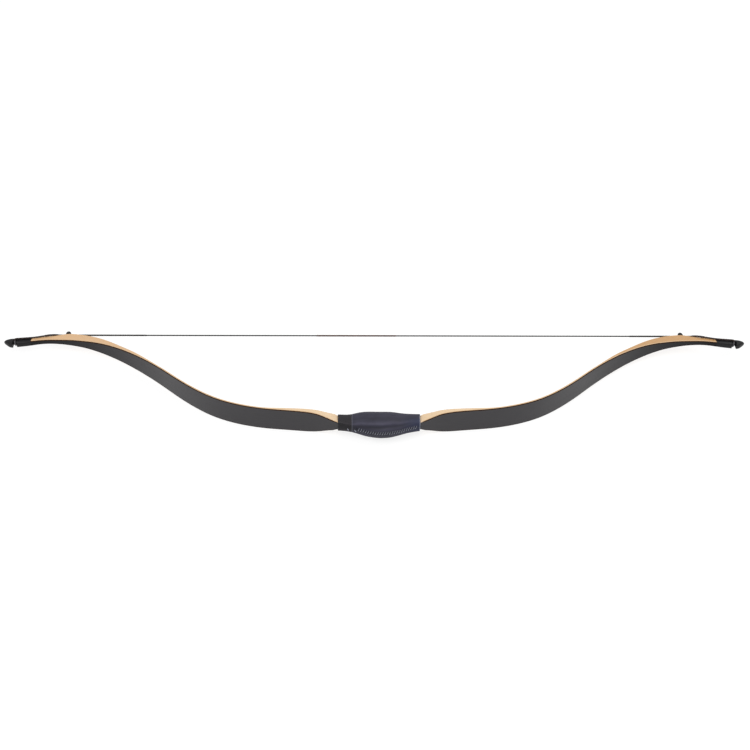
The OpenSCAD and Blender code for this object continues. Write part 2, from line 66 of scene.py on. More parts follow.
# Sizes that the solids have too
STRUNG_LENGTH = 1180
HANDLE_LENGTH = 370
SIYAH_LENGTH = 158
TIP_LENGTH = 44
LIMB_RISE = 148
HANDLE_RISE = 19
SIYAH_RISE = 16.5
TIP_DROP = 13
BACK_GLASS = 1.2
CORE = 1.4
BELLY_GLASS = 0.7
HANDLE_DEPTH = 20.5
SIYAH_DEPTH = 15.5
TIP_DEPTH = 8.6
WEDGE_LEAD = 90
LIMB_WIDTH = 42.5
NECK_WIDTH = 15
SIYAH_WIDTH = 8
TIP_WIDTH = 10.4
BRIDGE_FROM_END = 100.5
BRIDGE_LENGTH = 9
BRIDGE_HEIGHT = 8.6
NOTCH_FROM_END = 17
BAND_LENGTH = 21
LEATHER = 1.5
BELLY_PAD = 2.4
GRIP_DEPTH = 40.5
GRIP_WIDTH = 34.5
CORNER_CUT = 3
STRAND_D = 2.2
SERVING_D = 2.8
STRING_LIFT = 2.1
LACING_WIDTH = 6
LACING_ASIDE = 2.5
NOCKING_X = -45
LOOP_STEM = 7
CLEARANCE = 0.3
LOOP_R = SERVING_D / 2 - 0.1
CENTRE_SERVING = {"upper": 51, "lower": 76}
END_SERVING = {"upper": 122, "lower": 82}

# Sizes that follow the photograph more closely than those of the solids
JOINT_SLANT = 3.2
JOINT_INWARD = {"upper": -0.3, "lower": 2.5}
BRIDGE_OUTWARD = {"upper": 1.4, "lower": 0}
NOTCH_FLARE = {"upper": 1.8, "lower": 2.9}
GRIP_UPPER = 62.3
GRIP_LOWER = 61.7
LACING_D = 0.8
STITCH_PITCH = 3.6

# Sizes and places of what only this script models
DARKENS_FROM = {"upper": 330, "lower": 262}
EDGE_ROUND = 0.5
THREAD_D = 0.5
THREAD_PITCH = 1.04 * THREAD_D
STRAND_COUNT = 6
STRAND_LAY = 30
STROKE_LEAN = 0.6
SEAM_HALF = 1.2
SEAM_SINKS = 0.5
STRANDS_SHORT = 1.3
LOOP_LIFT = 3
LIFT_FADES = 32
THROAT_POINTS = (6, 17)
FLOOR_GAP = 0.2

# Places along the lower limb
BOW_END = STRUNG_LENGTH / 2
ROOT_X = HANDLE_LENGTH / 2
KNEE_X = BOW_END - SIYAH_LENGTH
CREST_X = KNEE_X + 0.525 * SIYAH_LENGTH
TIP_X = BOW_END - TIP_LENGTH
BRIDGE_X = BOW_END - BRIDGE_FROM_END
NOTCH_X = BOW_END - NOTCH_FROM_END
FLEX_LENGTH = KNEE_X - ROOT_X
LIMB = BACK_GLASS + CORE + BELLY_GLASS
BELLY_Y = -(LEATHER + BELLY_PAD)
MIDDLE_BACK_Y = BELLY_Y - HANDLE_DEPTH
ROOT_BACK_Y = MIDDLE_BACK_Y + HANDLE_RISE
CREST_BACK_Y = ROOT_BACK_Y + LIMB_RISE + SIYAH_RISE
RISE_RATIO = LIMB_RISE / FLEX_LENGTH
SWELLING = SIYAH_DEPTH - LIMB
FLARE = (LIMB_WIDTH - NECK_WIDTH) / 2

# Smooth curves through stations of place, value and slope
BACK = [
    (0, MIDDLE_BACK_Y, 0),
    (0.3 * ROOT_X, MIDDLE_BACK_Y + 0.005 * HANDLE_RISE, 0.06),
    (0.41 * ROOT_X, MIDDLE_BACK_Y + 0.215 * HANDLE_RISE, 0.245),
    (0.54 * ROOT_X, MIDDLE_BACK_Y + 0.463 * HANDLE_RISE, 0.135),
    (0.81 * ROOT_X, MIDDLE_BACK_Y + 0.758 * HANDLE_RISE, 0.094),
    (ROOT_X, ROOT_BACK_Y, 0.185),
    (ROOT_X + 0.224 * FLEX_LENGTH, ROOT_BACK_Y + 0.111 * LIMB_RISE, 0.724 * RISE_RATIO),
    (ROOT_X + 0.555 * FLEX_LENGTH, ROOT_BACK_Y + 0.497 * LIMB_RISE, 1.49 * RISE_RATIO),
    (KNEE_X, ROOT_BACK_Y + LIMB_RISE, 0.703 * RISE_RATIO),
    (CREST_X, CREST_BACK_Y, 0.018),
    (BOW_END, CREST_BACK_Y - TIP_DROP, -0.17),
]
DEPTHS = [
    (0, HANDLE_DEPTH, 0),
    (0.24 * ROOT_X, 0.87 * HANDLE_DEPTH, -0.05),
    (0.34 * ROOT_X, 0.81 * HANDLE_DEPTH, -0.2),
    (0.44 * ROOT_X, 0.57 * HANDLE_DEPTH, -0.24),
    (0.52 * ROOT_X, 0.45 * HANDLE_DEPTH, -0.11),
    (0.78 * ROOT_X, LIMB + 0.112 * HANDLE_DEPTH, -0.065),
    (ROOT_X, LIMB, 0),
    (KNEE_X - WEDGE_LEAD, LIMB, 0),
    (KNEE_X - 0.66 * WEDGE_LEAD, LIMB + 0.14 * SWELLING, 0.09),
    (KNEE_X - 0.3 * WEDGE_LEAD, LIMB + 0.31 * SWELLING, 0.1),
    (KNEE_X + 0.15 * SIYAH_LENGTH, LIMB + 0.866 * SWELLING, 0.11),
    (BRIDGE_X, SIYAH_DEPTH, 0),
    (BRIDGE_X + 0.13 * SIYAH_LENGTH, TIP_DEPTH + 2.2, -0.2),
    (TIP_X, TIP_DEPTH, -0.03),
    (BOW_END, TIP_DEPTH, 0),
]
HALF_WIDTH = [
    (0, NECK_WIDTH / 2, 0),
    (0.3 * ROOT_X, NECK_WIDTH / 2, 0.03),
    (0.39 * ROOT_X, NECK_WIDTH / 2 + 0.255 * FLARE, 0.32),
    (0.52 * ROOT_X, NECK_WIDTH / 2 + 0.845 * FLARE, 0.19),
    (0.65 * ROOT_X, 0.4965 * LIMB_WIDTH, 0.012),
    (0.9 * ROOT_X, LIMB_WIDTH / 2, 0),
    (ROOT_X + 0.51 * FLEX_LENGTH, 0.4625 * LIMB_WIDTH, -0.03),
    (ROOT_X + 0.795 * FLEX_LENGTH, 0.37 * LIMB_WIDTH, -0.085),
    (KNEE_X + 0.14 * SIYAH_LENGTH, 0.192 * LIMB_WIDTH, -0.13),
    (BRIDGE_X, SIYAH_WIDTH / 2 + 1.2, -0.08),
    (CREST_X + 8, SIYAH_WIDTH / 2, 0),
    (TIP_X, 0.43 * TIP_WIDTH, 0.06),
    (NOTCH_X, TIP_WIDTH / 2, 0),
]

# Which way each limb lies along X
SIDES = {"upper": -1, "lower": 1}


def span_of(stations, x):
    """The two stations on both sides of a place, its share of the way and their distance."""
    i = 0
    while i < len(stations) - 2 and x > stations[i + 1][0]:
        i += 1
    a, b = stations[i], stations[i + 1]
    h = b[0] - a[0]
    return a, b, (x - a[0]) / h, h


def curve(stations, x):
    a, b, s, h = span_of(stations, x)
    rise = a[1] * (1 + 2 * s) * (1 - s) ** 2 + b[1] * s * s * (3 - 2 * s)
    return rise + h * s * (1 - s) * (a[2] * (1 - s) - b[2] * s)


def slope(stations, x):
    a, b, s, h = span_of(stations, x)
    rise = 6 * s * (1 - s) * (b[1] - a[1]) / h
    return rise + a[2] * (1 - s) * (1 - 3 * s) + b[2] * s * (3 * s - 2)


def tilt_at(x):
    return math.atan(slope(BACK, x))


def stack_depth(x):
    """Depth of the laminations at a place, square to the back."""
    return curve(DEPTHS, abs(x))


def in_stack(x, depth):
    """The point at a depth under the back, on the lower limb."""
    tilt = tilt_at(x)
    return Vector((x - depth * math.sin(tilt), curve(BACK, x) + depth * math.cos(tilt), 0))


def belly_at(x):
    return in_stack(x, stack_depth(x))


BELLY_AT_BRIDGE = belly_at(BRIDGE_X)
STRING_Y = BELLY_AT_BRIDGE.y + STRING_LIFT

# The round seat of the string notch, and the half width of tip that isn't flared
TIP_Y = curve(BACK, TIP_X)
NOTCH_SEAT = (NOTCH_X, TIP_Y + 0.4)
NOTCH_RADIUS = 1.6
NOTCH_CORE = 2

# The joint between limb and tip, from the back to the belly
JOINT = (in_stack(TIP_X + JOINT_SLANT / 2, 0), in_stack(TIP_X - JOINT_SLANT / 2, TIP_DEPTH))

# The grip: its belly line, back line, half width and squareness at places along it
BAND_X = -GRIP_UPPER + BAND_LENGTH
FULLEST_X = 3


def grip_end(x, slack):
    """Belly line, back line and half width of the leather at one of its ends."""
    out = LEATHER + slack
    return belly_at(x).y + out, curve(BACK, x) - out, curve(HALF_WIDTH, x) + out


UPPER_END, LOWER_END = grip_end(GRIP_UPPER, 0.5), grip_end(GRIP_LOWER, 1.1)
GRIP_TOP = [
    (-GRIP_UPPER, UPPER_END[0], 0.04),
    (-0.74 * GRIP_UPPER, -0.1 * GRIP_DEPTH, 0.13),
    (-0.49 * GRIP_UPPER, -0.02 * GRIP_DEPTH, 0.15),
    (-0.2 * GRIP_UPPER, 0, 0),
    (0.24 * GRIP_LOWER, 0, 0),
    (0.48 * GRIP_LOWER, -0.02 * GRIP_DEPTH, -0.13),
    (0.71 * GRIP_LOWER, -0.072 * GRIP_DEPTH, -0.12),
    (GRIP_LOWER, LOWER_END[0], -0.03),
]
GRIP_BOTTOM = [
    (-GRIP_UPPER, UPPER_END[1], -0.1),
    (-0.74 * GRIP_UPPER, -0.706 * GRIP_DEPTH, -0.26),
    (-0.49 * GRIP_UPPER, -0.817 * GRIP_DEPTH, -0.31),
    (-0.25 * GRIP_UPPER, -0.928 * GRIP_DEPTH, -0.23),
    (FULLEST_X, -GRIP_DEPTH, 0),
    (0.48 * GRIP_LOWER, -0.9 * GRIP_DEPTH, 0.29),
    (0.71 * GRIP_LOWER, -0.768 * GRIP_DEPTH, 0.33),
    (GRIP_LOWER, LOWER_END[1], 0.18),
]
GRIP_HALF = [
    (-GRIP_UPPER, UPPER_END[2], -0.03),
    (-0.74 * GRIP_UPPER, 0.281 * GRIP_WIDTH, 0.05),
    (-0.49 * GRIP_UPPER, 0.374 * GRIP_WIDTH, 0.3),
    (-0.25 * GRIP_UPPER, 0.47 * GRIP_WIDTH, 0.13),
    (FULLEST_X, GRIP_WIDTH / 2, 0),
    (0.24 * GRIP_LOWER, 0.484 * GRIP_WIDTH, -0.13),
    (0.48 * GRIP_LOWER, 0.377 * GRIP_WIDTH, -0.22),
    (0.71 * GRIP_LOWER, 0.326 * GRIP_WIDTH, -0.04),
    (GRIP_LOWER, LOWER_END[2], 0),
]
SQUARENESS = [
    (-GRIP_UPPER, 4, 0),
    (-0.49 * GRIP_UPPER, 3, -0.03),
    (FULLEST_X, 2.4, 0),
    (0.48 * GRIP_LOWER, 2.7, 0.02),
    (GRIP_LOWER, 4, 0.03),
]


def grip_at(x):
    """Middle, half depth and half width of the grip at a place."""
    top, bottom = curve(GRIP_TOP, x), curve(GRIP_BOTTOM, x)
    return (top + bottom) / 2, (top - bottom) / 2, curve(GRIP_HALF, x)


def squared(value, squareness):
    """A round section's coordinate, from -1 to 1, pushed out towards a squared one."""
    return math.copysign(min(abs(value), 1) ** (2 / squareness), value)


def clamp(value, low=0, high=1):
    return min(max(value, low), high)


def evenly(start, end, most):
    """Places from start to end, no further apart than most."""
    count = max(1, math.ceil(abs(end - start) / most))
    return [start + (end - start) * i / count for i in range(count + 1)]


def srgb(red, green, blue):
    """A colour as seen on a screen, from 0 to 255, as Blender's linear colour."""
    def linear(value):
        value = value / 255
        return value / 12.92 if value <= 0.04045 else ((value + 0.055) / 1.055) ** 2.4
    return (linear(red), linear(green), linear(blue), 1.0)


# Camera, light and floor

def photo_camera():
    """The photograph's camera: 45 degrees above the bow and nearly square to it."""
    azimuth, elevation, roll = (math.radians(a) for a in (2.277, 45, 1.682))
    distance = 2.271
    focal_pixels, frame_pixels = 1456, 750
    sensor = 36
    aim = Vector((-4.29, 86.22, 0)) * MM
    level = math.cos(elevation)
    look = Vector((math.sin(azimuth) * level, math.cos(azimuth) * level, -math.sin(elevation)))
    right = Vector((math.cos(azimuth), -math.sin(azimuth), 0))
    up = right.cross(look)
    turned_right = math.cos(roll) * right + math.sin(roll) * up
    turned_up = math.cos(roll) * up - math.sin(roll) * right
    bpy.ops.object.camera_add(location=aim - distance * look)
    camera = bpy.context.object
    camera.name = "photo_camera"
    camera.rotation_euler = Matrix((turned_right, turned_up, -look)).transposed().to_euler()
    camera.data.sensor_width = sensor
    camera.data.lens = sensor * focal_pixels / frame_pixels
    bpy.context.scene.camera = camera


def area_light(name, place, size, power):
    """A round light that shines on the middle of the bow."""
    aim = (0, 0.05, 0)
    bpy.ops.object.light_add(type="AREA", location=place)
    light = bpy.context.object
    light.name = name
    light.rotation_euler = (Vector(aim) - Vector(place)).to_track_quat("-Z", "Y").to_euler()
    light.data.shape = "DISK"
    light.data.size = size
    light.data.energy = power


def studio():
    """A white room, dimmer as a light than as it looks, with two lamps over the bow."""
    bpy.context.scene.view_settings.view_transform = "Standard"
    world = bpy.data.worlds.new("studio_world")
    bpy.context.scene.world = world
    world.use_nodes = True
    tree = world.node_tree
    background = tree.nodes["Background"]
    background.inputs["Color"].default_value = (1, 1, 1, 1)
    ray = tree.nodes.new("ShaderNodeLightPath")
    seen = calculate(tree, "MAXIMUM", ray.outputs["Is Camera Ray"], ray.outputs["Is Glossy Ray"])
    tree.links.new(map_range(tree, seen, 0, 1, 0.6, 1), background.inputs["Strength"])
    area_light("key", (-0.5, -0.9, 2.2), 1.6, 24)
    area_light("fill", (0.9, 0.6, 1.9), 1.4, 10)


def floor(material):
    """The pale floor, a hair under the edges that the bow lies on."""
    low = cad_box[0].z - FLOOR_GAP * MM
    bpy.ops.mesh.primitive_plane_add(size=12, location=(0, 0, low))
    plane = bpy.context.object
    plane.name = "floor"
    plane.data.materials.append(material)


# Materials

def start_material(name, roughness, specular=0.5):
    material = bpy.data.materials.new(name)
    material.use_nodes = True
    tree = material.node_tree
    shader = tree.nodes["Principled BSDF"]
    shader.inputs["Roughness"].default_value = roughness
    shader.inputs["Specular IOR Level"].default_value = specular
    return material, tree, shader


def scaled(tree, place, scale):
    mapping = tree.nodes.new("ShaderNodeMapping")
    mapping.inputs["Scale"].default_value = scale
    tree.links.new(place, mapping.inputs["Vector"])
    return mapping.outputs["Vector"]


def place_on_object(tree, scale):
    """Object coordinates in metres, times a scale."""
    where = tree.nodes.new("ShaderNodeTexCoord")
    return scaled(tree, where.outputs["Object"], scale)


def place_on_grain(tree, scale):
    """A limb's own coordinates along, under and across its back, times a scale."""
    where = tree.nodes.new("ShaderNodeAttribute")
    where.attribute_name = "grain"
    return scaled(tree, where.outputs["Vector"], scale)


def coordinates(tree, place):
    """A place's X, Y and Z, each by itself."""
    split = tree.nodes.new("ShaderNodeSeparateXYZ")
    tree.links.new(place, split.inputs["Vector"])
    return split.outputs


def noise(tree, place, scale, detail=3.0, roughness=0.5):
    texture = tree.nodes.new("ShaderNodeTexNoise")
    texture.inputs["Scale"].default_value = scale
    texture.inputs["Detail"].default_value = detail
    texture.inputs["Roughness"].default_value = roughness
    tree.links.new(place, texture.inputs["Vector"])
    return texture.outputs["Fac"]


def ramp(tree, value, stops):
    """A colour ramp through stops of place and colour."""
    node = tree.nodes.new("ShaderNodeValToRGB")
    points = node.color_ramp.elements
    while len(points) < len(stops):
        points.new(0.5)
    for point, (place, colour) in zip(points, stops):
        point.position = place
        point.color = colour
    tree.links.new(value, node.inputs["Fac"])
    return node.outputs["Color"]


def feed(tree, socket, value):
    """Gives a socket its value: a number, a colour or what another socket puts out."""
    if isinstance(value, bpy.types.NodeSocket):
        tree.links.new(value, socket)
    else:
        socket.default_value = value


def mix_colour(tree, factor, first, second, blend="MIX"):
    node = tree.nodes.new("ShaderNodeMix")
    node.data_type = "RGBA"
    node.blend_type = blend
    for i, value in ((0, factor), (6, first), (7, second)):
        feed(tree, node.inputs[i], value)
    return node.outputs[2]


def add_bump(tree, shader, height, strength, distance):
    """Small relief, its distance in metres. A second call adds to the first."""
    node = tree.nodes.new("ShaderNodeBump")
    node.inputs["Strength"].default_value = strength
    node.inputs["Distance"].default_value = distance
    tree.links.new(height, node.inputs["Height"])
    before = shader.inputs["Normal"]
    if before.is_linked:
        tree.links.new(before.links[0].from_socket, node.inputs["Normal"])
    tree.links.new(node.outputs["Normal"], before)


def map_range(tree, value, from_min, from_max, to_min, to_max):
    """A value moved from one range to another, any of them a number or a socket."""
    node = tree.nodes.new("ShaderNodeMapRange")
    for i, given in enumerate((value, from_min, from_max, to_min, to_max)):
        feed(tree, node.inputs[i], given)
    return node.outputs["Result"]


def calculate(tree, operation, first, second=0):
    """A Math node on two values, each a number or a socket."""
    node = tree.nodes.new("ShaderNodeMath")
    node.operation = operation
    feed(tree, node.inputs[0], first)
    feed(tree, node.inputs[1], second)
    return node.outputs[0]


def attribute_value(tree, name):
    node = tree.nodes.new("ShaderNodeAttribute")
    node.attribute_name = name
    return node.outputs["Fac"]


def vary_roughness(tree, shader, value, low, high):
    tree.links.new(map_range(tree, value, 0, 1, low, high), shader.inputs["Roughness"])


def maple(name, pale, warm, line):
    """Clear-coated maple: its grain runs along the limb, fine and straight."""
    material, tree, shader = start_material(name, 0.35)
    fine = noise(tree, place_on_grain(tree, (9, 420, 420)), 4.0, 4.0, 0.6)
    broad = noise(tree, place_on_grain(tree, (3, 60, 60)), 4.0, 2.0)
    colour = ramp(tree, fine, [(0.25, line), (0.42, warm), (0.62, pale)])
    colour = mix_colour(tree, broad, colour, warm)
    tree.links.new(colour, shader.inputs["Base Color"])
    shader.inputs["Coat Weight"].default_value = 0.35
    shader.inputs["Coat Roughness"].default_value = 0.18
    add_bump(tree, shader, fine, 0.12, 0.0001)
    return material


def black_fibreglass():
    """The satin black back: a faint lengthwise fibre, a dark brown, dull painted shade along both
    its edges, and towards the tips darker and less shiny."""
    material, tree, shader = start_material("black_fibreglass", 0.32)
    fibre = noise(tree, place_on_grain(tree, (12, 900, 900)), 3.0, 3.0)
    cloud = noise(tree, place_on_grain(tree, (6, 25, 25)), 3.0, 3.0)
    towards_tip = attribute_value(tree, "towards_tip")
    across = calculate(tree, "ABSOLUTE", coordinates(tree, place_on_grain(tree, (1, 1, 1)))["Z"])
    inward = calculate(tree, "SUBTRACT", attribute_value(tree, "half_width"), across)
    # Painted shade along both edges: dark brown and without shine, full at the edge and gone 1.4 mm
    # in
    edge_shade_full_to, edge_shade_gone_from = 0.5 * MM, 1.4 * MM
    edge = map_range(tree, inward, edge_shade_full_to, edge_shade_gone_from, 1, 0)
    colour = ramp(tree, fibre, [(0.3, srgb(34, 32, 35)), (0.7, srgb(48, 45, 49))])
    dark = ramp(tree, fibre, [(0.3, srgb(14, 13, 15)), (0.7, srgb(22, 21, 23))])
    colour = mix_colour(tree, towards_tip, colour, dark)
    colour = mix_colour(tree, edge, colour, srgb(50, 25, 5))
    tree.links.new(colour, shader.inputs["Base Color"])
    shine = map_range(tree, towards_tip, 0, 1, 0.42, 0.14)
    shine = map_range(tree, edge, 0, 1, shine, 0.03)
    tree.links.new(shine, shader.inputs["Specular IOR Level"])
    vary_roughness(tree, shader, cloud, 0.30, 0.42)
    add_bump(tree, shader, fibre, 0.10, 0.00005)
    return material


def clear_fibreglass():
    """The clear belly over maple: glass cannot be told from the wood under it, only its shine."""
    material, tree, shader = start_material("clear_fibreglass", 0.25)
    fine = noise(tree, place_on_grain(tree, (9, 380, 380)), 4.0, 4.0, 0.6)
    colour = ramp(tree, fine, [(0.28, srgb(186, 141, 92)), (0.45, srgb(214, 172, 120)),
                               (0.65, srgb(228, 192, 145))])
    tree.links.new(colour, shader.inputs["Base Color"])
    shader.inputs["Coat Weight"].default_value = 0.6
    shader.inputs["Coat Roughness"].default_value = 0.12
    return material


def black_horn():
    """The nock tips and bridges: black, polished but hand-worked."""
    material, tree, shader = start_material("black_horn", 0.28, 0.2)
    streak = noise(tree, place_on_object(tree, (60, 260, 260)), 3.0, 3.0)
    colour = ramp(tree, streak, [(0.35, srgb(14, 14, 16)), (0.7, srgb(25, 24, 26))])
    tree.links.new(colour, shader.inputs["Base Color"])
    vary_roughness(tree, shader, streak, 0.24, 0.38)
    return material


# Where the leather's stain and the low part of its raw edges begin and are full, and how far
# in from an end a raw edge reaches
STAIN_FROM_X = 30
STAIN_Y = (-13, -20)
RAW_Y = (-9, -15)
RAW_EDGE = 1.4


def grained_leather(name, dark, light, edge_colour, dye, first_x, last_x):
    """Dyed leather: pebbled grain, painted light on the ridges of its creases and painted shade in
    their hollows and along the laced seam, pale raw edges at both ends, palest low on the last
    one, and low on the grip's lower end a stain of deeper dye."""
    material, tree, shader = start_material(name, 0.55, 0.3)
    pebble = tree.nodes.new("ShaderNodeTexVoronoi")
    pebble.inputs["Scale"].default_value = 900
    tree.links.new(place_on_object(tree, (1, 1, 1)), pebble.inputs["Vector"])
    folds = noise(tree, place_on_object(tree, (14, 110, 110)), 2.0, 3.0, 0.55)
    cloud = noise(tree, place_on_object(tree, (40, 60, 60)), 1.2, 2.0)
    colour = ramp(tree, cloud, [(0.3, dark), (0.7, light)])
    colour = mix_colour(tree, 0.25, colour, ramp(tree, folds, [(0.35, dark), (0.65, light)]))
    # Painted light and shade: brighter on the creases' ridges, darker in their hollows and along
    # the laced seam
    crease_shading = ramp(tree, attribute_value(tree, "crease_light_and_shade"), [
        (0, (0.5, 0.5, 0.52, 1)), (0.5, (1, 1, 1, 1)), (1, (1.75, 1.7, 1.62, 1))])
    colour = mix_colour(tree, 1, colour, crease_shading, "MULTIPLY")
    x, y, _ = coordinates(tree, place_on_object(tree, (1, 1, 1)))
    outward = map_range(tree, x, STAIN_FROM_X * MM, GRIP_LOWER * MM, 0, 0.7)
    stain = map_range(tree, y, STAIN_Y[0] * MM, STAIN_Y[1] * MM, 0, outward)
    colour = mix_colour(tree, stain, colour, dye)
    for end, inward, on_top, below in ((first_x, 1, 0.3, 0.3), (last_x, -1, 0.1, 1)):
        rawness = map_range(tree, y, RAW_Y[0] * MM, RAW_Y[1] * MM, on_top, below)
        edge = map_range(tree, x, end * MM, (end + inward * RAW_EDGE) * MM, rawness, 0)
        colour = mix_colour(tree, edge, colour, edge_colour)
    tree.links.new(colour, shader.inputs["Base Color"])
    vary_roughness(tree, shader, folds, 0.48, 0.62)
    add_bump(tree, shader, pebble.outputs["Distance"], 0.30, 0.0002)
    add_bump(tree, shader, folds, 0.45, 0.0008)
    return material


# How far out along the bow, and how far in from its sides, the loops' thread has a painted
# highlight in the notch
HIGHLIGHT_FROM_X = (NOTCH_X - 3, NOTCH_X - 2)
HIGHLIGHT_TO_Z = (4, 5.5)


def highlight_in_notch(tree):
    """From 0 to 1 where a thread lies in the string notch, which is where its painted highlight
    goes.
    """
    x, _, z = coordinates(tree, place_on_object(tree, (1, 1, 1)))
    out = calculate(tree, "ABSOLUTE", x)
    across = calculate(tree, "ABSOLUTE", z)
    at_notch = map_range(tree, out, HIGHLIGHT_FROM_X[0] * MM, HIGHLIGHT_FROM_X[1] * MM, 0, 1)
    return map_range(tree, across, HIGHLIGHT_TO_Z[0] * MM, HIGHLIGHT_TO_Z[1] * MM, at_notch, 0)


def thread(name, dark, light, highlight=None):
    """Waxed thread or fibre, uneven along its length, and in the notch a pale painted highlight."""
    material, tree, shader = start_material(name, 0.6, 0.35)
    uneven = noise(tree, place_on_object(tree, (300, 300, 300)), 1.5, 3.0)
    colour = ramp(tree, uneven, [(0.3, dark), (0.7, light)])
    # A pale grey painted highlight where the thread lies in the notch
    if highlight:
        colour = mix_colour(tree, highlight_in_notch(tree), colour, highlight)
    tree.links.new(colour, shader.inputs["Base Color"])
    shader.inputs["Sheen Weight"].default_value = 0.15
    return material


def lacing_thread():
    """Navy thread, paler where it lies on top and at its two ends."""
    material, tree, shader = start_material("lacing_thread", 0.55, 0.35)
    uneven = noise(tree, place_on_object(tree, (400, 400, 400)), 1.5, 3.0)
    deep = ramp(tree, uneven, [(0.3, srgb(22, 24, 38)), (0.7, srgb(40, 42, 60))])
    colour = mix_colour(tree, attribute_value(tree, "pale"), deep, srgb(190, 192, 206))
    tree.links.new(colour, shader.inputs["Base Color"])
    return material


def swell_filler():
    material, tree, shader = start_material("swell_filler", 0.8, 0.2)
    speck = noise(tree, place_on_object(tree, (300, 300, 300)), 1.0, 4.0)
    colour = ramp(tree, speck, [(0.35, srgb(112, 82, 54)), (0.65, srgb(160, 122, 84))])
    tree.links.new(colour, shader.inputs["Base Color"])
    return material


def pale_floor():
    """Looks white to the camera and in reflections, and keeps the bow's soft shadow."""
    material, tree, shader = start_material("pale_floor", 0.9, 0.0)
    shader.inputs["Base Color"].default_value = (0.9, 0.9, 0.9, 1)
    glow = tree.nodes.new("ShaderNodeEmission")
    glow.inputs["Strength"].default_value = 1.14
    ray = tree.nodes.new("ShaderNodeLightPath")
    seen = ray.outputs["Is Camera Ray"]
    for kind in ("Is Glossy Ray", "Is Transmission Ray"):
        seen = calculate(tree, "MAXIMUM", seen, ray.outputs[kind])
    mixed = tree.nodes.new("ShaderNodeMixShader")
    glowing = calculate(tree, "MULTIPLY", seen, 0.7)
    for i, given in enumerate((glowing, shader.outputs["BSDF"], glow.outputs["Emission"])):
        feed(tree, mixed.inputs[i], given)
    tree.links.new(mixed.outputs["Shader"], tree.nodes["Material Output"].inputs["Surface"])
    return material


# Making pieces

# Two faces that meet at less than this many degrees are shaded as one smooth surface
FLAT_SHADE = 20
ROUND_SHADE = 60


def select_only(*pieces):
    """Selects pieces and nothing else, and makes the first the active one."""
    bpy.ops.object.select_all(action="DESELECT")
    for piece in pieces:
        piece.select_set(True)
    bpy.context.view_layer.objects.active = pieces[0]


def select_where(piece, kind, wanted):
    """In edit mode, selects the points, edges or faces that wanted picks, and nothing else."""
    bpy.ops.mesh.select_mode(type=kind)
    bpy.ops.mesh.select_all(action="DESELECT")
    shape = bmesh.from_edit_mesh(piece.data)
    for element in {"VERT": shape.verts, "EDGE": shape.edges, "FACE": shape.faces}[kind]:
        if wanted(element):
            element.select_set(True)
    bmesh.update_edit_mesh(piece.data)


def lay(piece, name, value_of):
    """Gives each point a value that materials read, worked out from its place."""
    values = piece.data.attributes.new(name, "FLOAT", "POINT")
    for vertex in piece.data.vertices:
        values.data[vertex.index].value = value_of(vertex.co / MM)


def finish_piece(piece, material, shade=40):
    """Smooth shading up to an angle, and a material."""
    select_only(piece)
    bpy.ops.object.shade_smooth_by_angle(angle=math.radians(shade))
    piece.data.materials.clear()
    piece.data.materials.append(material)
    bpy.ops.object.select_all(action="DESELECT")
    return piece


def sweep(name, rings, sides, corners=()):
    """Grows a closed solid from a first section, ring by ring.

    A ring is (centre, tilt, half depth, half width) in metres and radians. Corners are the
    numbers of the section's corners whose long edges are rounded.
    """
    centre, tilt, depth, width = rings[0]
    if sides == 4:
        bpy.ops.mesh.primitive_plane_add(size=2, rotation=(0, math.pi / 2, 0))
    else:
        bpy.ops.mesh.primitive_circle_add(vertices=sides, radius=1, fill_type="NGON",
                                          rotation=(0, math.pi / 2, 0))
    piece = bpy.context.object
    piece.name = name
    bpy.ops.object.transform_apply(location=True, rotation=True, scale=True)
    corner = piece.data.attributes.new("corner", "INT", "POINT")
    for vertex in piece.data.vertices:
        corner.data[vertex.index].value = vertex.index + 1
    bpy.ops.object.mode_set(mode="EDIT")
    bpy.ops.mesh.select_mode(type="VERT")
    bpy.ops.mesh.select_all(action="SELECT")
    bpy.ops.transform.resize(value=(1, depth, width), center_override=(0, 0, 0))
    bpy.ops.transform.rotate(value=-tilt, orient_axis="Z", center_override=(0, 0, 0))
    bpy.ops.transform.translate(value=centre)
    for before, after in zip(rings, rings[1:]):
        centre, tilt, depth, width = after
        bpy.ops.mesh.extrude_region_move(TRANSFORM_OT_translate={"value": centre - before[0]})
        bpy.ops.transform.rotate(value=before[1] - tilt, orient_axis="Z", center_override=centre)
        bpy.ops.transform.resize(
            value=(1, depth / before[2], width / before[3]), orient_type="GLOBAL",
            orient_matrix=Matrix.Rotation(tilt, 3, "Z"), orient_matrix_type="GLOBAL",
            center_override=centre)
    if corners:
        round_long_edges(piece, corners)
    bpy.ops.mesh.select_all(action="SELECT")
    bpy.ops.mesh.normals_make_consistent(inside=False)
    bpy.ops.object.mode_set(mode="OBJECT")
    return piece


def round_long_edges(piece, corners):
    """Rounds the edges that join one section's corner to the next section's same corner."""
    number = bmesh.from_edit_mesh(piece.data).verts.layers.int["corner"]

    def runs_along(edge):
        first, second = (vertex[number] for vertex in edge.verts)
        return first == second and first in corners

    select_where(piece, "EDGE", runs_along)
    bpy.ops.mesh.bevel(offset=EDGE_ROUND * MM, segments=2, affect="EDGES")


def under_back(out, y):
    """How deep a point lies under the back's curve, square to it."""
    return (y - curve(BACK, out)) * math.cos(tilt_at(out))


def lay_grain(piece):
    """Gives each point its place in the limb: along its back, under it and across it."""
    step = 2
    lengths = [0]
    for x in range(0, int(BOW_END) + step, step):
        lengths.append(lengths[-1] + step * math.hypot(1, slope(BACK, x)))
    grain = piece.data.attributes.new("grain", "FLOAT_VECTOR", "POINT")
    for vertex in piece.data.vertices:
        x, y, z = vertex.co / MM
        out = abs(x)
        i = min(int(out / step), len(lengths) - 2)
        along = lengths[i] + (lengths[i + 1] - lengths[i]) * (out / step - i)
        under = under_back(out, y)
        grain.data[vertex.index].vector = (math.copysign(along, x) * MM, under * MM, z * MM)


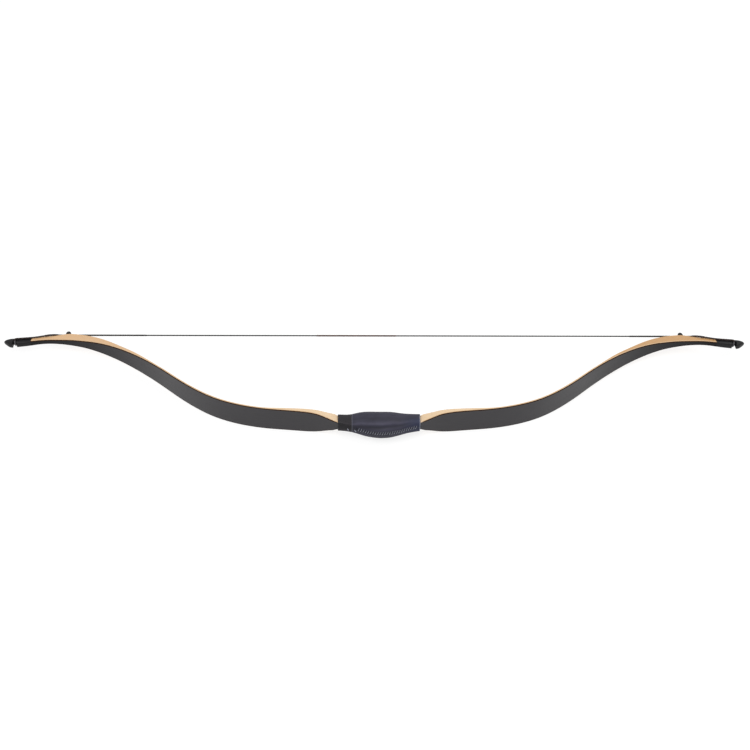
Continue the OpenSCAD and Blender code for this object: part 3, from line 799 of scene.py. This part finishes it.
def lamination(name, side, places, top, bottom, corners=()):
    """One lamination of a limb: top and bottom give its depths under the back at a place."""
    turn = SIDES[side]
    rings = []
    for x in places:
        middle = in_stack(x, (top(x) + bottom(x)) / 2)
        rings.append((Vector((turn * middle.x, middle.y, 0)) * MM, turn * tilt_at(x),
                      (bottom(x) - top(x)) / 2 * MM, curve(HALF_WIDTH, x) * MM))
    piece = sweep(name, rings, 4, corners)
    trim_corners(piece)
    lay_grain(piece)
    if places[-1] > TIP_X:
        end_at_joint(piece, side, True)
    return piece


def trim_corners(piece):
    """Takes the stack's corners off where it lies in the leather."""
    fades_from, fading = max(GRIP_UPPER, GRIP_LOWER) - 1, 0.35
    for vertex in piece.data.vertices:
        x, y, z = vertex.co / MM
        out = abs(x)
        under = under_back(out, y)
        cut = CORNER_CUT - fading * max(0, out - fades_from)
        inward = max(0, cut - under, cut - (stack_depth(out) - under))
        if cut > 0 and inward > 0:
            half = curve(HALF_WIDTH, out) - inward
            vertex.co.z = math.copysign(min(abs(z), half), z) * MM


def end_at_joint(piece, side, keep_limb):
    """Cuts a piece off along the joint between limb and tip. The two were cut by hand."""
    turn = SIDES[side]
    joint_x = turn * (JOINT[0].x - JOINT_INWARD[side])
    run = (JOINT[1] - JOINT[0]).normalized()
    select_only(piece)
    bpy.ops.object.mode_set(mode="EDIT")
    bpy.ops.mesh.select_all(action="SELECT")
    bpy.ops.mesh.bisect(plane_co=(joint_x * MM, JOINT[0].y * MM, 0),
                        plane_no=(turn * run.y, -run.x, 0), use_fill=True,
                        clear_outer=keep_limb, clear_inner=not keep_limb)
    bpy.ops.object.mode_set(mode="OBJECT")


def mark_back(piece, side):
    """What the back's paint reads: its half width in metres, and from 0 to 1 how dark it is."""
    start = DARKENS_FROM[side]
    lay(piece, "half_width", lambda place: curve(HALF_WIDTH, abs(place.x)) * MM)
    lay(piece, "towards_tip", lambda place: clamp((abs(place.x) - start) / (TIP_X - start)))


def bend_with_limb(piece):
    """Bakes the piece's place into its mesh."""
    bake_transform(piece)


# The corners of a lamination's section that show, as sweep numbers them
BACK_CORNERS = (1, 2)
BELLY_CORNERS = (3, 4)
SPACING = 5
PAST_JOINT = TIP_X + 4
WEDGE_EDGE = 0.05


def limb_pieces(side, paints):
    """The laminations of one limb, from the middle of the handle to the nock tip."""
    along = evenly(0, PAST_JOINT, SPACING)
    glue = BACK_GLASS + CORE

    def wedge_floor(x):
        return max(stack_depth(x) - BELLY_GLASS, glue + WEDGE_EDGE)

    back = lamination(side + "_back_fibreglass", side, along, lambda x: 0, lambda x: BACK_GLASS,
                      BACK_CORNERS)
    mark_back(back, side)
    finish_piece(back, paints["back"], FLAT_SHADE)
    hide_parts(side + "_back_glass", "handle_back_glass")

    core = lamination(side + "_core_maple", side, along, lambda x: BACK_GLASS, lambda x: glue)
    finish_piece(core, paints["core"])
    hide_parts(side + "_limb_core", "handle_core")

    belly = lamination(side + "_belly_fibreglass", side, along,
                       lambda x: stack_depth(x) - BELLY_GLASS, stack_depth, BELLY_CORNERS)
    finish_piece(belly, paints["belly"], FLAT_SHADE)
    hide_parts(side + "_belly_glass", "handle_belly_glass")

    riser = lamination(side + "_riser_maple", side, evenly(0, ROOT_X, SPACING), lambda x: glue,
                       wedge_floor)
    finish_piece(riser, paints["riser"])
    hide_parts("riser_wedge")

    for piece in (back, core, belly, riser):
        bend_with_limb(piece)

    wedge = lamination(side + "_siyah_maple", side,
                       evenly(KNEE_X - WEDGE_LEAD, PAST_JOINT, SPACING), lambda x: glue,
                       wedge_floor)
    finish_piece(wedge, paints[side + "_siyah"])
    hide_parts(side + "_siyah_wedge")
    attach(wedge, side + "_limb")


def squared_sweep(name, rings, sides, squareness):
    """A sweep along X of round sections that are squared off, more or less at each place."""
    piece = sweep(name, rings, sides)
    for vertex in piece.data.vertices:
        near = min(rings, key=lambda ring: abs(ring[0].x - vertex.co.x))
        power = squareness(near[0].x / MM)
        up, across = (vertex.co.y - near[0].y) / near[2], vertex.co.z / near[3]
        vertex.co.y = near[0].y + near[2] * squared(up, power)
        vertex.co.z = near[3] * squared(across, power)
    return piece


def use_modifier(piece, kind, **settings):
    """Adds a modifier and applies it."""
    select_only(piece)
    bpy.ops.object.modifier_add(type=kind)
    modifier = piece.modifiers[-1]
    for key, value in settings.items():
        setattr(modifier, key, value)
    bpy.ops.object.modifier_apply(modifier=modifier.name)


def cut_away(piece, cutter):
    use_modifier(piece, "BOOLEAN", operation="DIFFERENCE", solver="EXACT", object=cutter)
    bpy.data.objects.remove(cutter, do_unlink=True)


def soften(piece, width, angle=40):
    """Rounds the edges that are sharper than an angle."""
    use_modifier(piece, "BEVEL", width=width * MM, segments=2, limit_method="ANGLE",
                 angle_limit=math.radians(angle), harden_normals=False)


def leather_sleeve(name, node, first, last, paint):
    """A stretch of the leather, its edges meeting in a seam along the back of the grip."""
    spacing, points_round = 2.5, 96
    rings = []
    for x in evenly(first, last, spacing):
        middle, deep, half = grip_at(x)
        rings.append((Vector((x, middle, 0)) * MM, 0, deep * MM, half * MM))
    piece = squared_sweep(name, rings, points_round, lambda x: curve(SQUARENESS, x))
    crease(piece)
    bpy.ops.object.mode_set(mode="EDIT")
    select_where(piece, "FACE", lambda face: len(face.verts) > 4)
    bpy.ops.mesh.delete(type="FACE")
    bpy.ops.object.mode_set(mode="OBJECT")
    use_modifier(piece, "SOLIDIFY", thickness=LEATHER * MM, offset=-1)
    soften(piece, 0.4, 50)
    finish_piece(piece, paint)
    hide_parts(node)
    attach(piece, "handle")


# Lengthwise creases: degrees round from the side, degrees per millimetre, rise and half width
CREASES = [(34, -0.18, 0.9, 9), (52, -0.18, -0.9, 9), (8, -0.1, -0.6, 10), (66, -0.45, 0.5, 6)]


def crease(piece):
    """Presses the seam in, raises or sinks the leather along its creases, and lays painted light on
    their ridges and painted shade in their hollows and along the laced seam.
    """
    crease_light_and_shade = piece.data.attributes.new("crease_light_and_shade", "FLOAT", "POINT")
    for vertex in piece.data.vertices:
        x, y, z = vertex.co / MM
        middle, deep, half = grip_at(clamp(x, -GRIP_UPPER, GRIP_LOWER))
        round_by = math.degrees(math.atan2((middle - y) / deep, z / half))
        along = clamp((x + GRIP_UPPER) / (GRIP_UPPER + GRIP_LOWER))
        fade = math.sqrt(4 * along * (1 - along))
        rise = sum(high * math.exp(-((round_by - at - drift * x) / wide) ** 2)
                   for at, drift, high, wide in CREASES)
        out = Vector((0, y - middle, z)).normalized()
        vertex.co += rise * fade * MM * out
        # Above one half this is painted light on a ridge, below it painted shade in a hollow
        pale = 0.5 + 0.5 * rise * fade
        aside = abs(z - LACING_ASIDE)
        if y < middle and aside < SEAM_HALF:
            vertex.co.y += SEAM_SINKS * MM * (1 - aside / SEAM_HALF)
        # The darkest painted shade lies along the sunken, laced seam
        if y < middle and aside < LACING_WIDTH / 2:
            pale = 0
        crease_light_and_shade.data[vertex.index].value = pale


def stitch(x, lean, over, aside=LACING_ASIDE, width=LACING_WIDTH):
    """One stroke across the seam: a thread that dives into the leather at both ends."""
    proud, dive = 0.45 * LACING_D, 1.1 * LACING_D
    path = []
    for share in evenly(-0.5, 0.5, 0.1):
        at = x + STROKE_LEAN * share * STITCH_PITCH
        z = aside + lean * share * width
        middle, deep, half = grip_at(at)
        power = curve(SQUARENESS, at)
        across = (1 - min(abs(z) / half, 1) ** power) ** (1 / power)
        lift = proud - dive * (2 * abs(share)) ** 6
        hump = over * LACING_D * (1 - 2 * abs(share))
        path.append(Vector((at, middle - deep * across - lift - hump, z)))
    return path


def grip_lacing(paint):
    """Crossed stitches over the seam: the strokes on top are paler, and so are the two ends."""
    end_aside, end_width = -1.2, 3.2
    palest, least = 1.3, 0.55
    count = int((GRIP_LOWER - BAND_X - LACING_WIDTH) / STITCH_PITCH)
    start = (BAND_X + GRIP_LOWER - (count - 1) * STITCH_PITCH) / 2
    places = [start + i * STITCH_PITCH for i in range(count)]
    rows = [
        ("under", 0.0, [stitch(x, -1, 0) for x in places]),
        ("over", 0.6, [stitch(x, 1, 0.4) for x in places[1:]]),
        ("ends", 1.0, [stitch(x, -1, 0.5, end_aside, end_width)
                       for x in (places[0] - 1, BAND_X - 5.5)]),
    ]

    def how_pale(place):
        low = clamp(0.5 - (place.z - LACING_ASIDE) / LACING_WIDTH)
        return paleness * (least + (palest - least) * low ** 2)

    pieces = []
    for kind, paleness, paths in rows:
        pieces.append(cord("lacing_" + kind, paths, LACING_D / 2, 2))
        lay(pieces[-1], "pale", how_pale)
    select_only(*pieces)
    bpy.ops.object.join()
    piece = pieces[0]
    piece.name = "grip_lacing_thread"
    finish_piece(piece, paint)
    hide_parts("grip_lacing")
    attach(piece, "handle")


def cord(name, paths, radius, resolution):
    """Round threads along paths in millimetres, made a mesh."""
    data = bpy.data.curves.new(name, "CURVE")
    data.dimensions = "3D"
    data.bevel_depth = radius * MM
    data.bevel_resolution = resolution
    data.use_fill_caps = True
    for path in paths:
        spline = data.splines.new("POLY")
        spline.points.add(len(path) - 1)
        for point, place in zip(spline.points, path):
            point.co = (*(place * MM), 1)
    piece = bpy.data.objects.new(name, data)
    bpy.context.collection.objects.link(piece)
    select_only(piece)
    bpy.ops.object.convert(target="MESH")
    return bpy.context.object


def wound(centre_line, radius, pitch, phase=0.0):
    """A helix round a centre line, its turns square to the line's own direction."""
    points = 10
    lengths = [0]
    for a, b in zip(centre_line, centre_line[1:]):
        lengths.append(lengths[-1] + (b - a).length)
    count = int(lengths[-1] / pitch * points)
    path = []
    i = 0
    for n in range(count + 1):
        s = lengths[-1] * n / count
        while i < len(lengths) - 2 and s > lengths[i + 1]:
            i += 1
        a, b = centre_line[i], centre_line[i + 1]
        along = (b - a).normalized()
        aside = along.cross(Vector((0, 1, 0))).normalized()
        up = aside.cross(along)
        angle = 2 * math.pi * n / points + phase
        middle = a + (b - a) * ((s - lengths[i]) / (lengths[i + 1] - lengths[i]))
        path.append(middle + radius * (math.cos(angle) * aside + math.sin(angle) * up))
    return path


def served(name, centre_line, outer, paint):
    """A serving: thread wound close round the string."""
    turns = wound(centre_line, outer / 2 - THREAD_D / 2, THREAD_PITCH)
    piece = cord(name, [turns], THREAD_D / 2, 0)
    return finish_piece(piece, paint, ROUND_SHADE)


def string_line(side, start, end):
    """The straight string between two distances from the middle of the bow."""
    turn = SIDES[side]
    return [Vector((turn * start, STRING_Y, 0)), Vector((turn * end, STRING_Y, 0))]


def strands(side, paint):
    """Strands laid up round a middle one, from the bridge to the nocking point."""
    line = string_line(side, BRIDGE_X - STRANDS_SHORT, SIDES[side] * NOCKING_X)
    lay_r = STRAND_D / 2 * 0.66
    phases = [2 * math.pi * i / STRAND_COUNT for i in range(STRAND_COUNT)]
    paths = [wound(line, lay_r, STRAND_LAY, phase) for phase in phases]
    piece = cord(side + "_laid_strands", paths + [line], STRAND_D / 2 - lay_r, 1)
    finish_piece(piece, paint, ROUND_SHADE)
    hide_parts(side + "_strands")
    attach(piece, side + "_string")


def servings(side, end_paint, centre_paint):
    turn = SIDES[side]
    nock = turn * NOCKING_X
    centre = served(side + "_centre_winding", string_line(side, nock + CENTRE_SERVING[side], nock),
                    SERVING_D, centre_paint)
    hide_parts(side + "_centre_serving")
    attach(centre, side + "_string")

    end = served(side + "_end_winding",
                 string_line(side, BRIDGE_X + LOOP_STEM, BRIDGE_X - END_SERVING[side]),
                 SERVING_D, end_paint)
    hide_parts(side + "_end_serving")
    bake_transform(end)


def loop_leg(side, across):
    """Centre line of one leg of the end loop, up the notch's flare and on to the stem."""
    seat = Vector((*NOTCH_SEAT, 0))
    run = Vector((BRIDGE_X + LOOP_STEM - 1, STRING_Y, 0)) - seat
    reach, along = run.length, run.normalized()
    beside = TIP_WIDTH / 2 + LOOP_R + CLEARANCE
    bend = 1.8
    legs = [
        (bend, beside, 0),
        (0.34 * reach, beside - 0.7, -0.03),
        (0.66 * reach, SIYAH_WIDTH / 2 + LOOP_R + CLEARANCE, -0.03),
        (0.75 * reach, SIYAH_WIDTH / 2 + 0.9, -0.16),
        (reach, 0.6, -0.03),
    ]
    route = [(0, 0)]
    for angle in range(90, 0, -15):
        a = math.radians(angle)
        route.append((bend - bend * math.sin(a), beside - bend + bend * math.cos(a)))
    route += [(u, curve(legs, u)) for u in evenly(bend, reach, 2)]
    places = []
    for u, w in route:
        lift = LOOP_LIFT * max(0, 1 - u / LIFT_FADES) * min(1, w / beside) ** 2
        places.append(seat + u * along + Vector((0, lift, across * w)))
    return [Vector((SIDES[side] * p.x, p.y, p.z)) for p in places]


def end_loop(side, paint):
    """Two served legs from the notch to the stem, served over once more near the bridge."""
    legs = [loop_leg(side, across) for across in (-1, 1)]
    core = cord(side + "_loop_core", legs, LOOP_R - THREAD_D / 2, 2)
    turns = [wound(leg, LOOP_R - THREAD_D / 2, THREAD_PITCH) for leg in legs]
    throat = [leg[-THROAT_POINTS[1]:-THROAT_POINTS[0]] for leg in legs]
    turns += [wound(leg, LOOP_R + THREAD_D / 4, THREAD_PITCH) for leg in throat]
    winding = cord(side + "_wound_loop", turns, THREAD_D / 2, 0)
    select_only(winding, core)
    bpy.ops.object.join()
    finish_piece(winding, paint, ROUND_SHADE)
    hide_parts(side + "_end_loop")
    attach(winding, side + "_loop")


# The nock tip: its belly, its back and its squareness, from before the joint to the bow's end
TIP_START = TIP_X - 7
BELLY_LAG = 1.5
TIP_BELLY = [
    (TIP_START, belly_at(TIP_START - BELLY_LAG).y, -0.14),
    (TIP_X - 1, TIP_Y + TIP_DEPTH + 0.25, -0.12),
    (TIP_X + 0.29 * TIP_LENGTH, TIP_Y + 8.4, -0.06),
    (NOTCH_X - 1, TIP_Y + 7.2, -0.12),
    (BOW_END - 8, TIP_Y + 6.1, -0.15),
    (BOW_END - 2.5, TIP_Y + 4.9, -0.35),
    (BOW_END, TIP_Y + 2.7, -1.6),
]
TIP_BACK = [
    (TIP_START, curve(BACK, TIP_START), -0.13),
    (TIP_X - 1, TIP_Y + 0.15, -0.16),
    (TIP_X + 0.29 * TIP_LENGTH, TIP_Y - 2.7, -0.18),
    (NOTCH_X - 3, TIP_Y - 4.4, -0.13),
    (NOTCH_X + 3.4, TIP_Y - 5.5, 0.08),
    (BOW_END - 9, TIP_Y - 4.7, 0.3),
    (BOW_END - 6.5, TIP_Y - 3.3, 0.65),
    (BOW_END - 1.7, TIP_Y, 0.75),
    (BOW_END, TIP_Y + 1.9, 1.8),
]
TIP_SQUARENESS = [
    (TIP_START, 12, 0),
    (TIP_X, 12, 0),
    (TIP_X + 12, 6, -0.2),
    (NOTCH_X, 6, 0.1),
    (NOTCH_X + 4, 7, 0),
    (BOW_END, 3, 0),
]

# The notch's mouth on the back, from its seat, and the nose: how squared it is, and how far
# its rings are from the bow's end
MOUTH = (-4.2, 2.6)
MOUTH_REACH = 5.2
MOUTH_Y = -6.2
MOUTH_WIDENS = 1.15
NOSE = 2.6
NOSE_RINGS = (3.8, 2.7, 1.8, 1, 0.4, 0)


def tip_half_width(x):
    """Seen from the back, the tip widens to the notch and ends in a blunt, rounded nose."""
    if x <= NOTCH_X:
        return curve(HALF_WIDTH, x)
    past = (x - NOTCH_X) / NOTCH_FROM_END
    return TIP_WIDTH / 2 * max(1 - past ** NOSE, 0.03) ** (1 / NOSE)


def open_out(cutter, picks, by):
    """Moves the half of a round cutter that picks finds by its height, and leaves it selected."""
    bpy.ops.object.transform_apply(location=True, rotation=True)
    bpy.ops.object.mode_set(mode="EDIT")
    select_where(cutter, "VERT", lambda vertex: picks(vertex.co.y / MM))
    bpy.ops.transform.translate(value=(0, by * MM, 0))


def under_seat(y):
    return y < NOTCH_SEAT[1] - 0.1


def notch_slot(turn):
    """The string notch: a round seat with a mouth that opens on the back."""
    seat_x, seat_y = NOTCH_SEAT
    bpy.ops.mesh.primitive_cylinder_add(
        vertices=32, radius=NOTCH_RADIUS * MM, depth=2 * TIP_WIDTH * MM,
        location=(turn * seat_x * MM, seat_y * MM, 0))
    cutter = bpy.context.object
    open_out(cutter, under_seat, -MOUTH_REACH)
    middle, half = turn * (MOUTH[0] + MOUTH[1]) / 2, (MOUTH[1] - MOUTH[0]) / 2
    bpy.ops.transform.translate(value=(middle * MM, 0, 0))
    bpy.ops.transform.resize(
        value=(MOUTH_WIDENS * half / NOTCH_RADIUS, 0.1, 1),
        center_override=((seat_x * turn + middle) * MM, (seat_y + MOUTH_Y) * MM, 0))
    bpy.ops.object.mode_set(mode="OBJECT")
    return cutter


def notch_flare(turn, across, widening):
    """Towards a side the notch widens like a countersink."""
    seat_x, seat_y = NOTCH_SEAT
    depth = TIP_WIDTH / 2 - NOTCH_CORE + 1
    bpy.ops.mesh.primitive_cone_add(
        vertices=32, radius1=NOTCH_RADIUS * MM, radius2=(NOTCH_RADIUS + widening) * MM,
        depth=depth * MM, rotation=(0 if across > 0 else math.pi, 0, 0),
        location=(turn * seat_x * MM, seat_y * MM, across * (NOTCH_CORE + depth / 2) * MM))
    cutter = bpy.context.object
    open_out(cutter, under_seat, -2 * TIP_DEPTH)
    bpy.ops.object.mode_set(mode="OBJECT")
    return cutter


def nock_tip(side, paint):
    turn = SIDES[side]
    spacing, points_round = 1.5, 40
    thinnest = 0.4
    rings = []
    for x in evenly(TIP_START, BOW_END - 5, spacing) + [BOW_END - d for d in NOSE_RINGS]:
        top, bottom = curve(TIP_BELLY, x), curve(TIP_BACK, x)
        rings.append((Vector((turn * x, (top + bottom) / 2, 0)) * MM, 0,
                      max(top - bottom, thinnest) / 2 * MM, tip_half_width(x) * MM))
    piece = squared_sweep(side + "_horn_tip", rings, points_round,
                          lambda x: curve(TIP_SQUARENESS, abs(x)))
    end_at_joint(piece, side, False)
    cut_away(piece, notch_slot(turn))
    for across in (-1, 1):
        cut_away(piece, notch_flare(turn, across, NOTCH_FLARE[side]))
    soften(piece, 0.35)
    finish_piece(piece, paint)
    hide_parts(side + "_nock_tip")
    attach(piece, side + "_limb")


def string_bridge(side, paint):
    """A small squared dome on the belly, with a groove that the string lies in."""
    turn = SIDES[side]
    foot_y = BELLY_AT_BRIDGE.y
    half = curve(HALF_WIDTH, BRIDGE_X) - 0.2
    upright, across = 2.5, 3.2
    place_x = turn * (BRIDGE_X + BRIDGE_OUTWARD[side])
    bpy.ops.mesh.primitive_uv_sphere_add(segments=48, ring_count=24, radius=1)
    piece = bpy.context.object
    piece.name = side + "_belly_bridge"
    for vertex in piece.data.vertices:
        u, v, w = vertex.co
        vertex.co = ((place_x + BRIDGE_LENGTH / 2 * squared(u, upright)) * MM,
                     (foot_y + BRIDGE_HEIGHT * squared(v, upright)) * MM,
                     half * squared(w, across) * MM)
    bpy.ops.object.mode_set(mode="EDIT")
    bpy.ops.mesh.select_all(action="SELECT")
    lean = slope(BACK, BRIDGE_X) + slope(DEPTHS, BRIDGE_X)
    bpy.ops.mesh.bisect(plane_co=(turn * BRIDGE_X * MM, (foot_y - 0.3) * MM, 0),
                        plane_no=(-turn * lean, 1, 0), use_fill=True, clear_inner=True)
    bpy.ops.object.mode_set(mode="OBJECT")
    bpy.ops.mesh.primitive_cylinder_add(
        vertices=32, radius=(SERVING_D / 2 + CLEARANCE) * MM, depth=3 * BRIDGE_LENGTH * MM,
        location=(turn * BRIDGE_X * MM, STRING_Y * MM, 0), rotation=(0, math.pi / 2, 0))
    groove = bpy.context.object
    open_out(groove, lambda y: y > STRING_Y + 0.01, BRIDGE_HEIGHT)
    bpy.ops.object.mode_set(mode="OBJECT")
    cut_away(piece, groove)
    soften(piece, 0.3)
    finish_piece(piece, paint)
    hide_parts(side + "_string_bridge")
    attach(piece, side + "_limb")


photo_camera()
studio()
floor(pale_floor())

PAINTS = {
    "back": black_fibreglass(),
    "core": maple("core_maple", srgb(222, 192, 154), srgb(210, 175, 133), srgb(190, 150, 106)),
    "riser": maple("riser_maple", srgb(232, 205, 171), srgb(221, 192, 154), srgb(201, 165, 124)),
    "upper_siyah": maple("upper_siyah_maple", srgb(221, 185, 143), srgb(212, 172, 128),
                         srgb(188, 144, 100)),
    "lower_siyah": maple("lower_siyah_maple", srgb(203, 162, 112), srgb(192, 147, 96),
                         srgb(168, 121, 73)),
    "belly": clear_fibreglass(),
    "tip": black_horn(),
    "grip": grained_leather("navy_leather", srgb(35, 34, 47), srgb(50, 49, 64), srgb(150, 154, 170),
                            srgb(28, 38, 66), BAND_X, GRIP_LOWER),
    "band": grained_leather("dark_leather", srgb(16, 13, 18), srgb(34, 30, 36), srgb(60, 58, 64),
                            srgb(20, 19, 23), -GRIP_UPPER, BAND_X),
    "lacing": lacing_thread(),
    "swell": swell_filler(),
    "fibre": thread("string_fibre", srgb(18, 18, 19), srgb(42, 42, 43)),
    "black_thread": thread("black_serving", srgb(16, 16, 17), srgb(34, 33, 34)),
    # The loop's pale third colour is its painted highlight in the notch
    "loop_thread": thread("loop_serving", srgb(30, 18, 13), srgb(56, 36, 26), srgb(104, 102, 106)),
    "brown_thread": thread("brown_serving", srgb(58, 38, 32), srgb(104, 68, 56)),
}

for side in SIDES:
    limb_pieces(side, PAINTS)
    nock_tip(side, PAINTS["tip"])
    string_bridge(side, PAINTS["tip"])
    end_loop(side, PAINTS["loop_thread"])
    strands(side, PAINTS["fibre"])
    servings(side, PAINTS["black_thread"], PAINTS["brown_thread"])
leather_sleeve("navy_grip_leather", "grip_leather", BAND_X, GRIP_LOWER, PAINTS["grip"])
leather_sleeve("dark_pass_band", "arrow_pass_band", -GRIP_UPPER, BAND_X, PAINTS["band"])
grip_lacing(PAINTS["lacing"])

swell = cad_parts["palm_swell"]
swell.data.materials.clear()
swell.data.materials.append(PAINTS["swell"])
